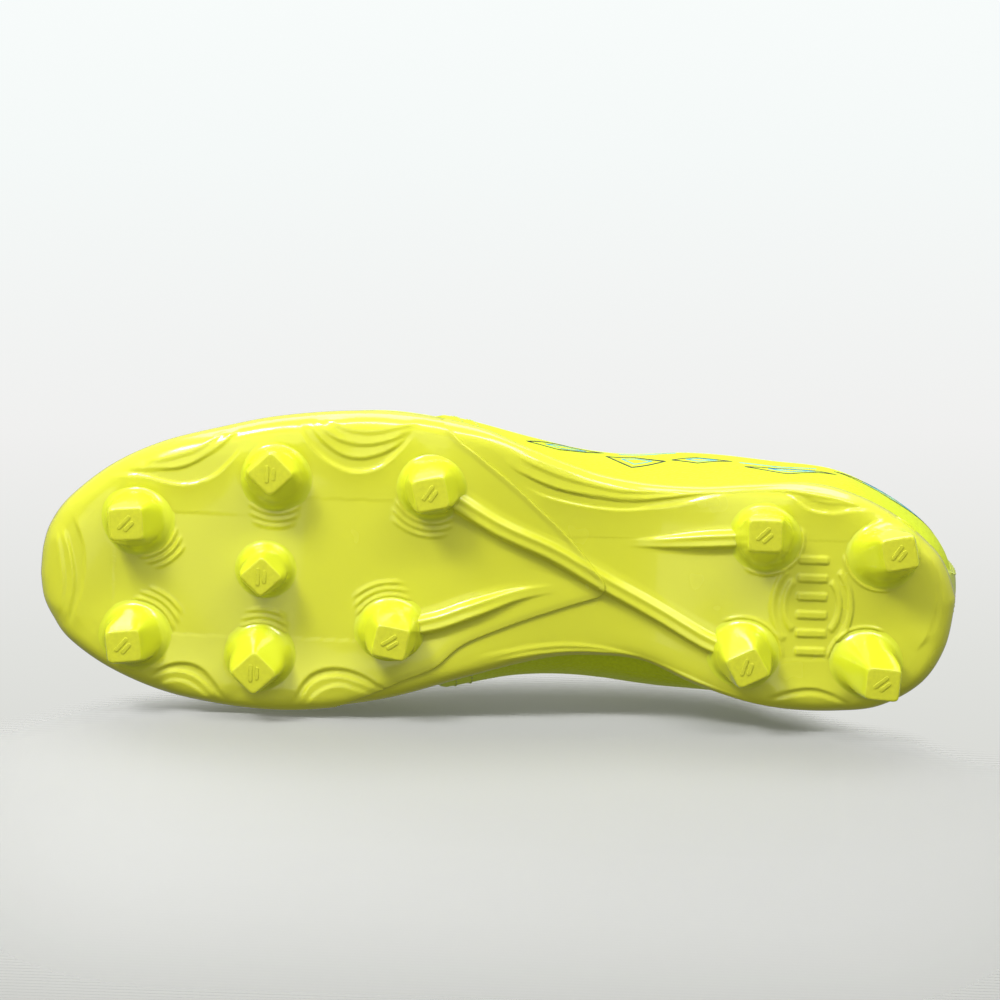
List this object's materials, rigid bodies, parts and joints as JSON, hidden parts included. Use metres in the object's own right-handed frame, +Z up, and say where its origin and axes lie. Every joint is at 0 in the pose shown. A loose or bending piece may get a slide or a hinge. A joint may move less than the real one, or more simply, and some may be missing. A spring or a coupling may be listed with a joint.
{
  "type": "soccer cleat",
  "caption": "Left football boot for firm ground: moulded sole plate with conical, square-tipped studs, low lace-up upper and a forefoot that flexes.",
  "frame": {"origin": "on the ground, below the middle of the boot's bounding box", "axes": "+Z up, +Y from the toe to the heel, +X to the outer (lateral) side of the left foot"},
  "size_m": [0.0967, 0.2888, 0.107],
  "materials": {
    "plate": "glossy moulded TPU, neon yellow",
    "plate_heel": "glossy moulded TPU, neon yellow",
    "stud": "glossy dome with a matt tip, neon yellow",
    "upper": "grained coated textile, neon yellow",
    "trim": "matt woven tape and film, near black",
    "stiffener": "matt sheet",
    "lining": "knitted mesh, dark grey",
    "foam": "open-cell foam",
    "tongue": "padded knit, dark grey",
    "lace": "braided polyester, neon yellow",
    "board": "stitched non-woven board",
    "sockliner": "brushed knit over moulded foam"
  },
  "bodies": {
    "rearfoot": {"ball_plate": "plate", "heel_plate": "plate_heel", "stud_ball_lateral": "stud", "stud_ball_medial": "stud", "stud_heel_front_lateral": "stud", "stud_heel_rear_lateral": "stud", "stud_heel_front_medial": "stud", "stud_heel_rear_medial": "stud", "vamp_flex": "upper", "vamp_lining_flex": "lining", "lateral_quarter": "upper", "medial_quarter": "upper", "backstay": "trim", "eyestay_lateral": "trim", "eyestay_medial": "trim", "heel_counter": "stiffener", "quarter_lining": "lining", "collar_foam_pad": "foam", "collar_binding": "trim", "tongue": "tongue", "tongue_lining": "lining", "lace_keeper": "trim", "lace": "lace", "strobel_board_rear": "board", "sockliner_rear": "sockliner"},
    "toe": {"toe_plate": "plate", "stud_toe_lateral": "stud", "stud_toe_medial": "stud", "stud_mid_lateral": "stud", "stud_mid_centre": "stud", "stud_mid_medial": "stud", "vamp_toe": "upper", "toe_puff": "stiffener", "vamp_lining_toe": "lining", "strobel_board_toe": "board", "sockliner_toe": "sockliner"}
  },
  "joints": [
    {"name": "forefoot_flex", "type": "hinge", "parent": "rearfoot", "child": "toe", "pos_m": [0, -0.052, 0.015], "axis": [-1, 0, 0], "range_deg": [0, 25], "stiffness_Nm_per_rad": 12, "deforming": ["vamp_flex", "vamp_lining_flex"]}
  ]
}
